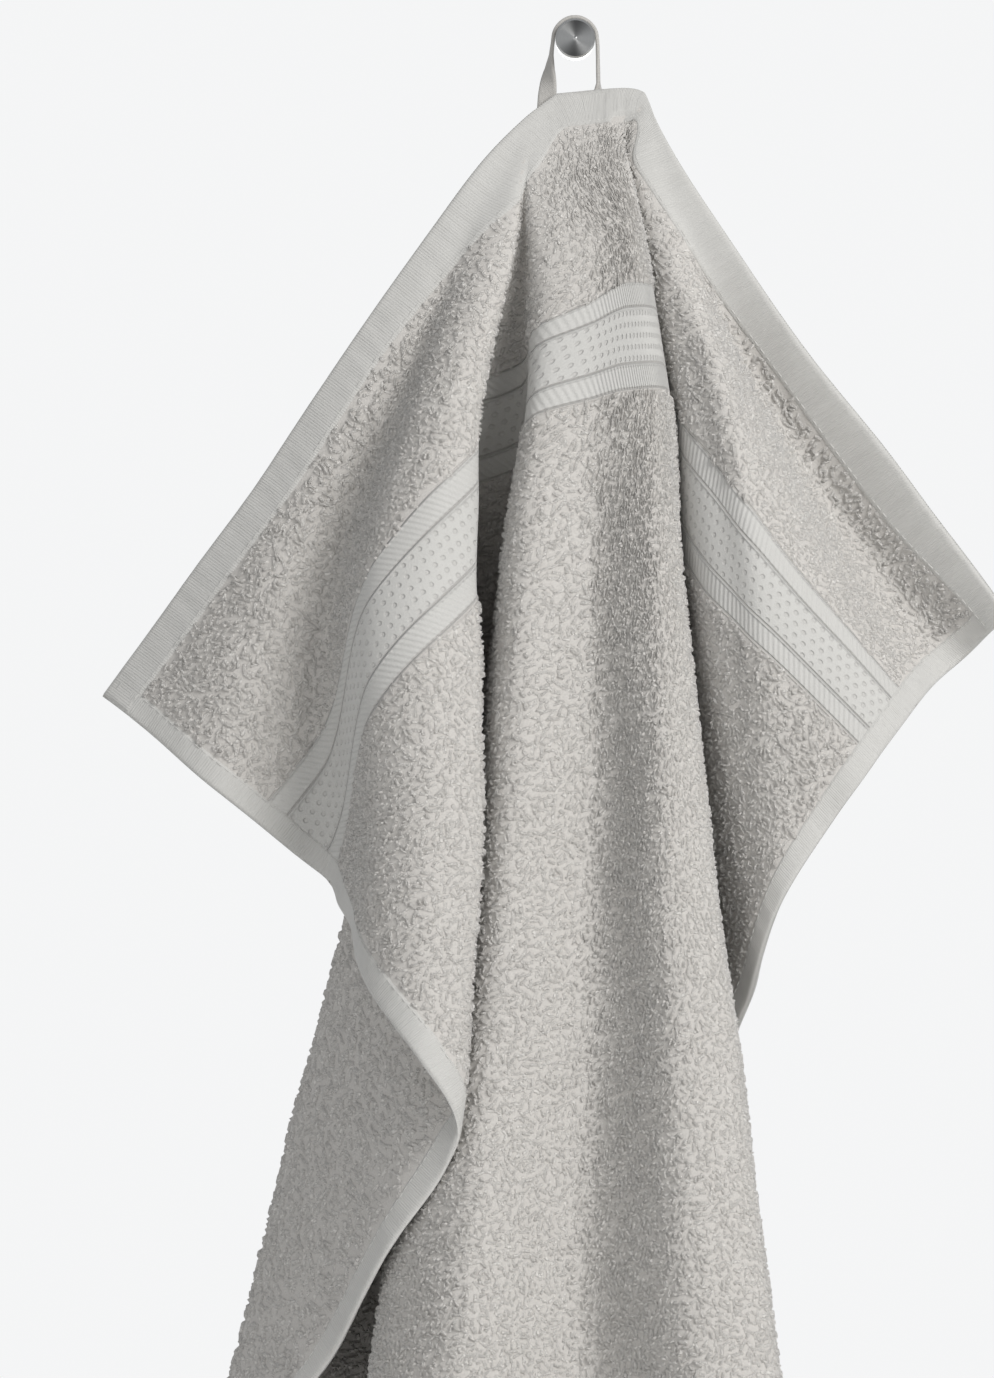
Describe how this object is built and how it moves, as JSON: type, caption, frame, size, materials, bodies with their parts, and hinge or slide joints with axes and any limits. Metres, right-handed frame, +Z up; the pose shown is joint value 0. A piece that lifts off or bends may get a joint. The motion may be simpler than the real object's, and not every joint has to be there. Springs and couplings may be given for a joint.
{
  "type": "hand towel on a hook",
  "caption": "A warm light grey terry hand towel with a woven border, hung by its loop from a round turned steel wall hook and falling in deep folds.",
  "frame": {"origin": "centre of the hook's back face, where it meets the wall", "axes": "+X to the viewer's right, +Y into the wall, +Z up; the viewer is on the -Y side"},
  "size_m": [0.293, 0.1345, 0.9538],
  "materials": {
    "terry": "looped cotton pile with flat woven hems and border",
    "tape": "flat woven cotton tape",
    "steel": "turned face with fine rings"
  },
  "bodies": {
    "root": {"towel": "terry", "hanging_loop": "tape", "hook": "steel"}
  },
  "joints": []
}
